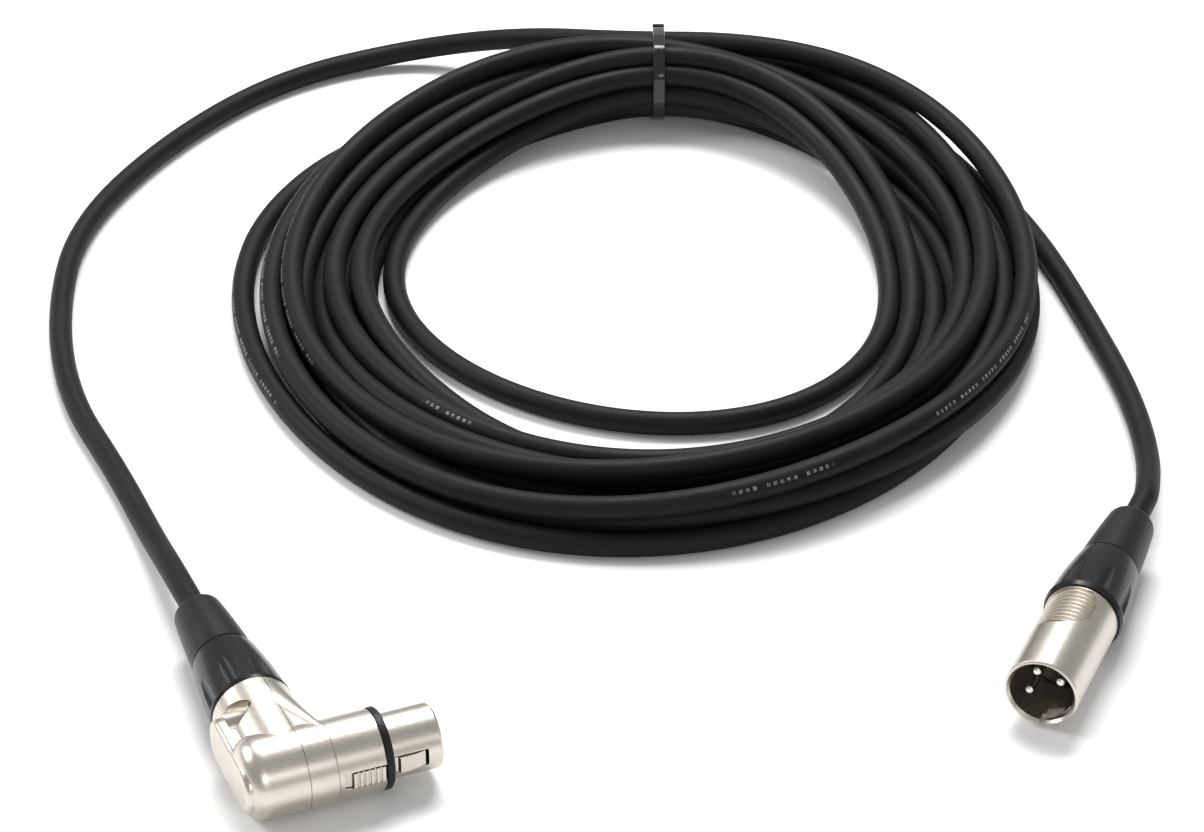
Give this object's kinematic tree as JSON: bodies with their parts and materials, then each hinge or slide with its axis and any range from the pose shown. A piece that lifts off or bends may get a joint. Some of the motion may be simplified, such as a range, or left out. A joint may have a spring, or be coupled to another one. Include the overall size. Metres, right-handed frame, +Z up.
{
  "type": "coiled microphone cable",
  "caption": "Coil of black microphone cable held by a cable tie, with a straight male plug on one end and a right-angle latching female socket on the other.",
  "frame": {"origin": "the middle of the footprint, on the surface the cable lies on", "axes": "+Z up; the male plug points along -Y; the female barrel points half way between +X and +Y"},
  "size_m": [0.3469, 0.3966, 0.0294],
  "materials": {
    "nickel": "satin nickel plate on die-cast zinc",
    "contact_silver": "silver-plated brass",
    "spring_steel": "bright spring steel",
    "screw_steel": "plated steel",
    "latch_metal": "satin nickel plate",
    "insert_plastic": "black moulded plastic",
    "chuck_plastic": "natural moulded plastic",
    "nut_plastic": "black moulded plastic with a soft sheen",
    "sleeve_rubber": "matte black flexible sleeve",
    "ring_rubber": "black rubber",
    "jacket": "matte black flexible jacket",
    "tie_nylon": "black nylon",
    "copper": "bare tinned copper strands",
    "wire_red": "insulated core",
    "wire_white": "insulated core"
  },
  "bodies": {
    "cable_and_connectors": {"male_shell": "nickel", "male_insert": "insert_plastic", "male_contact_pin_1": "contact_silver", "male_contact_pin_2": "contact_silver", "male_contact_pin_3": "contact_silver", "male_ground_spring": "spring_steel", "male_cable_chuck": "chuck_plastic", "male_cable_end": "jacket", "male_shield_drain": "copper", "male_hot_wire": "wire_red", "male_cold_wire": "wire_white", "elbow_rear_cover": "nickel", "elbow_front_housing": "nickel", "cover_screw": "screw_steel", "female_barrel_shell": "nickel", "sealing_ring": "ring_rubber", "latch_pin": "spring_steel", "latch_spring": "spring_steel", "female_insert": "insert_plastic", "socket_contact_1": "contact_silver", "socket_contact_2": "contact_silver", "socket_contact_3": "contact_silver", "female_cable_chuck": "chuck_plastic", "female_cable_end": "jacket", "female_shield_drain": "copper", "female_hot_wire": "wire_red", "female_cold_wire": "wire_white", "cable_coil": "jacket", "cable_tail_female": "jacket", "cable_tail_male": "jacket", "cable_tie": "tie_nylon"},
    "male_nut": {"male_boot_nut": "nut_plastic"},
    "male_sleeve": {"male_boot_sleeve": "sleeve_rubber"},
    "female_nut": {"female_boot_nut": "nut_plastic"},
    "female_sleeve": {"female_boot_sleeve": "sleeve_rubber"},
    "latch": {"latch_lever": "latch_metal"}
  },
  "joints": [
    {"name": "latch_press", "type": "hinge", "parent": "cable_and_connectors", "child": "latch", "pos_m": [0.02064, -0.18018, 0.0104], "axis": [0, 0, 1], "range_deg": [0, 5], "stiffness_Nm_per_rad": 0.1, "springref_deg": -5.73},
    {"name": "male_boot_travel", "type": "slide", "parent": "cable_and_connectors", "child": "male_sleeve", "axis": [0, 1, 0], "range_m": [0, 0.006]},
    {"name": "male_nut_turn", "type": "hinge", "parent": "male_sleeve", "child": "male_nut", "pos_m": [0.163, -0.051, 0.0104], "axis": [0, 1, 0], "range_deg": [0, 1440.1]},
    {"name": "female_boot_travel", "type": "slide", "parent": "cable_and_connectors", "child": "female_sleeve", "axis": [-0.7071, 0.7071, 0], "range_m": [0, 0.006]},
    {"name": "female_nut_turn", "type": "hinge", "parent": "female_sleeve", "child": "female_nut", "pos_m": [-0.01168, -0.16582, 0.0104], "axis": [-0.7071, 0.7071, 0], "range_deg": [0, 1440.1]}
  ],
  "couplings": [
    {"joint": "male_nut_turn", "follows": "male_boot_travel", "rad_per_m": 4188.8},
    {"joint": "female_nut_turn", "follows": "female_boot_travel", "rad_per_m": 4188.8}
  ]
}
